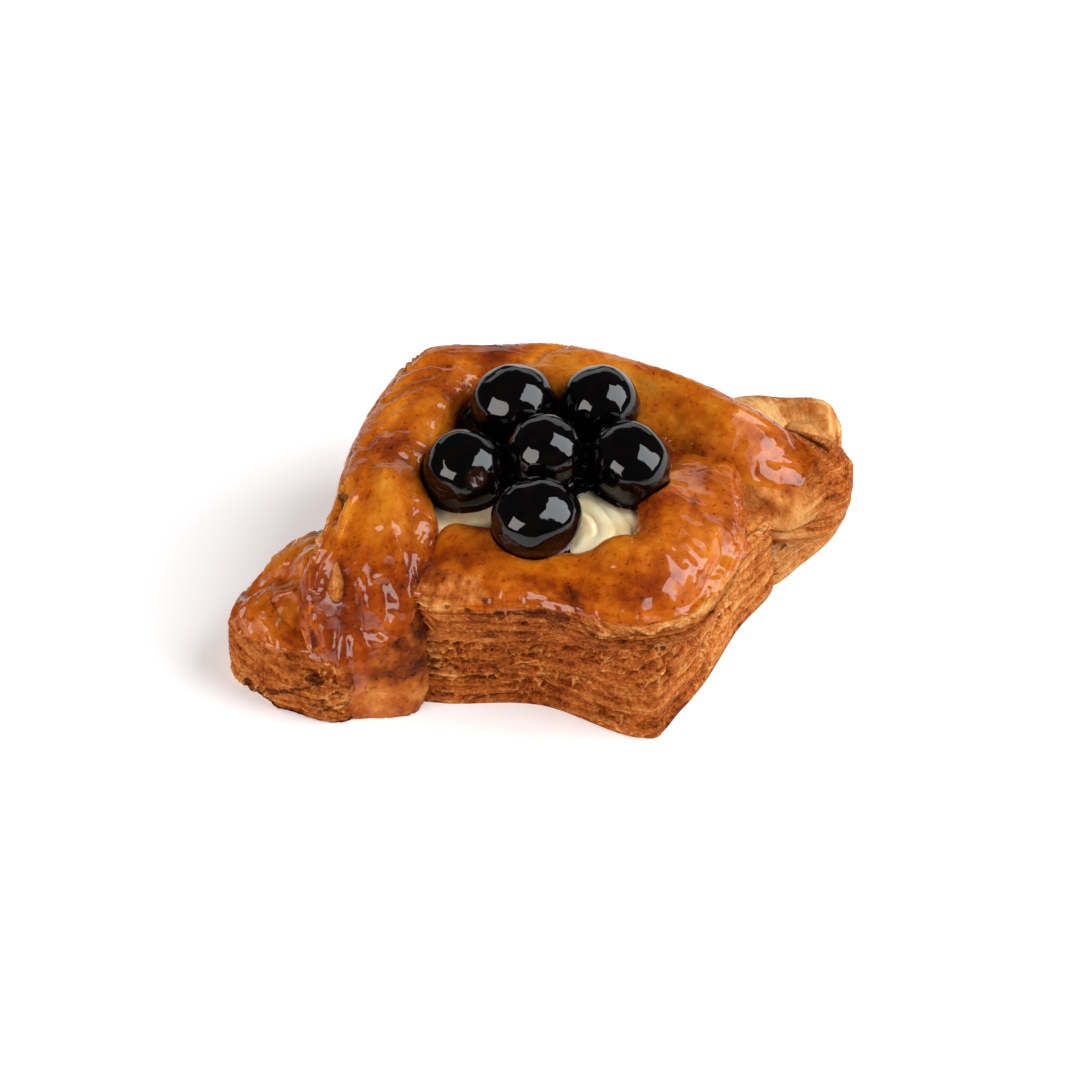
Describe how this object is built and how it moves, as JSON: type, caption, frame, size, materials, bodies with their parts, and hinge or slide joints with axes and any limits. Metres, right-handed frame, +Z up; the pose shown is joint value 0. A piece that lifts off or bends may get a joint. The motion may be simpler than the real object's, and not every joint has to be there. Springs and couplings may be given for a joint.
{
  "type": "danish pastry",
  "caption": "Crossed-strip danish pastry: laminated dough base, two folded border strips round a well of vanilla custard, glazed black cherries on top.",
  "frame": {"origin": "on the surface it rests on, below the middle of the whole pastry's box", "axes": "+Z up; +X along the long diagonal, from the tail where the back strip comes down over the front one towards the fanned tail; +Y towards the back corner"},
  "size_m": [0.1382, 0.0896, 0.044],
  "materials": {
    "crust": "baked laminated dough with a clear sugar glaze on top, bare and matt at the cut sides",
    "custard": "smooth satin custard",
    "cherry": "wet glossy syrup-glazed skin"
  },
  "bodies": {
    "root": {"pastry": "crust", "custard": "custard", "cherry_1": "cherry", "cherry_2": "cherry", "cherry_3": "cherry", "cherry_4": "cherry", "cherry_5": "cherry", "cherry_6": "cherry"}
  },
  "joints": []
}
